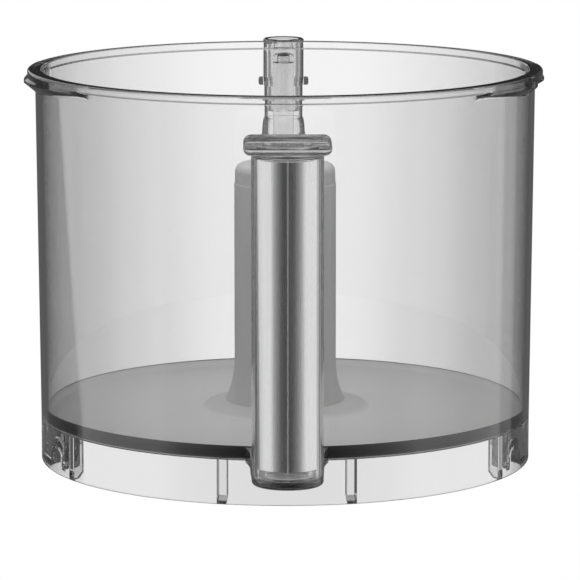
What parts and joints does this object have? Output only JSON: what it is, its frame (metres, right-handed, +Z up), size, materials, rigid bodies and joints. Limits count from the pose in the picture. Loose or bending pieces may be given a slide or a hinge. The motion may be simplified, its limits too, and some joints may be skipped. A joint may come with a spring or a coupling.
{
  "type": "food processor work bowl",
  "caption": "Clear cylindrical work bowl with a frosted floor and centre tube, a metal-sleeved upright handle, a base skirt, and a sprung interlock pushrod at the back.",
  "frame": {"origin": "on the bowl's axis, at the plane its skirt stands on", "axes": "+Z up along the bowl's axis, -Y towards the handle, +Y towards the pushrod housing"},
  "size_m": [0.2083, 0.2709, 0.1586],
  "materials": {
    "clear_wall": "clear, polished",
    "clear_skirt": "clear, polished",
    "clear_handle": "clear, polished",
    "clear_housing": "clear, polished",
    "matt_floor": "fine matt",
    "frosted_tube": "frosted",
    "brushed_metal": "brushed along its length",
    "milky_guide": "milky",
    "dark_guide": "satin",
    "rod_plastic": "satin",
    "spring_steel": "drawn wire"
  },
  "bodies": {
    "bowl": {"bowl_wall": "clear_wall", "bowl_floor": "matt_floor", "centre_tube": "frosted_tube", "base_skirt": "clear_skirt", "handle_shell": "clear_handle", "handle_sleeve": "brushed_metal", "handle_thumb_rest": "clear_handle", "handle_end_plug": "clear_handle", "handle_neck": "clear_handle", "handle_foot": "clear_handle", "pushrod_housing": "clear_housing", "housing_web": "clear_housing", "upper_guide": "milky_guide", "lower_guide": "dark_guide", "pushrod_spring": "spring_steel"},
    "pushrod": {"pushrod": "rod_plastic", "pushrod_cap": "rod_plastic", "retaining_clip": "spring_steel"}
  },
  "joints": [
    {"name": "pushrod_slide", "type": "slide", "parent": "bowl", "child": "pushrod", "axis": [0, 0, -1], "range_m": [0, 0.0065], "stiffness_N_per_m": 720, "springref_m": -0.006, "deforming": ["pushrod_spring"]}
  ]
}
